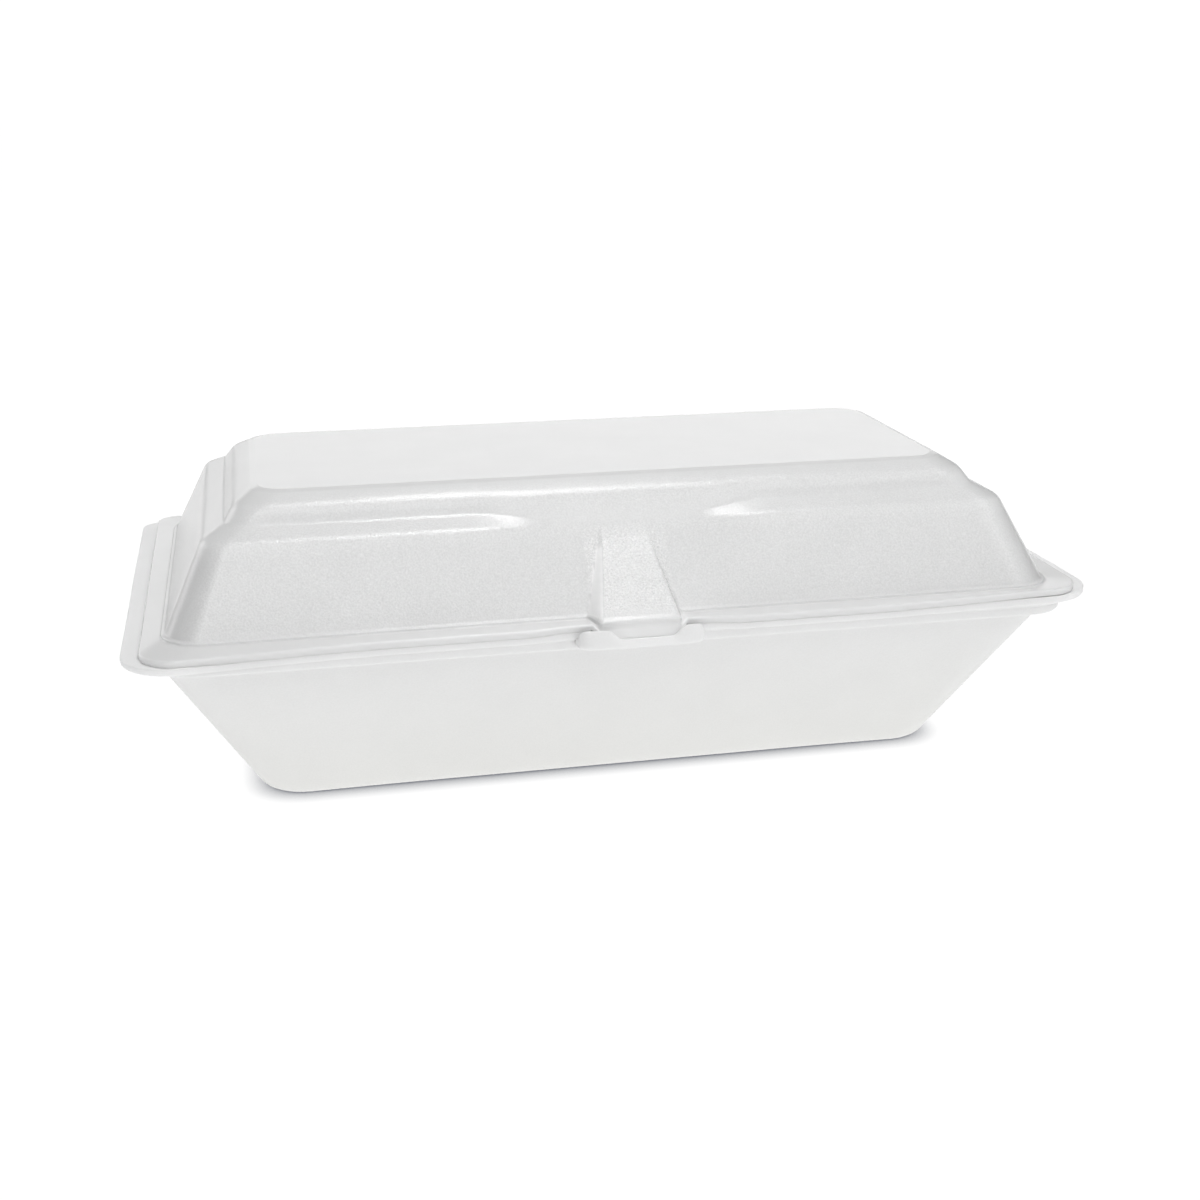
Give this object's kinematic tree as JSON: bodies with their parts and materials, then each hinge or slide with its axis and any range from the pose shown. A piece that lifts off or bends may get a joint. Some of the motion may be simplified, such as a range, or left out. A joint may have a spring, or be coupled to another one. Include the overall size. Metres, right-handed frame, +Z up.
{
  "type": "foam clamshell container",
  "caption": "White foam takeaway box for a long sandwich: a tapered tray with a stepped lid hinged along the back rim and a tab lock at the front.",
  "frame": {"origin": "centre of the tray's flat bottom, on the surface that the box stands on", "axes": "+X along the length, -Y to the front with the lock, +Y to the hinge, +Z up"},
  "size_m": [0.2476, 0.1312, 0.0825],
  "materials": {
    "foam": "white expanded polystyrene foam, matt with a fine cell grain"
  },
  "bodies": {
    "base": {"tray": "foam"},
    "lid": {"lid": "foam"}
  },
  "joints": [
    {"name": "lid_hinge", "type": "hinge", "parent": "base", "child": "lid", "pos_m": [0, 0.0635, 0.05], "axis": [-1, 0, 0], "range_deg": [0, 180]}
  ]
}
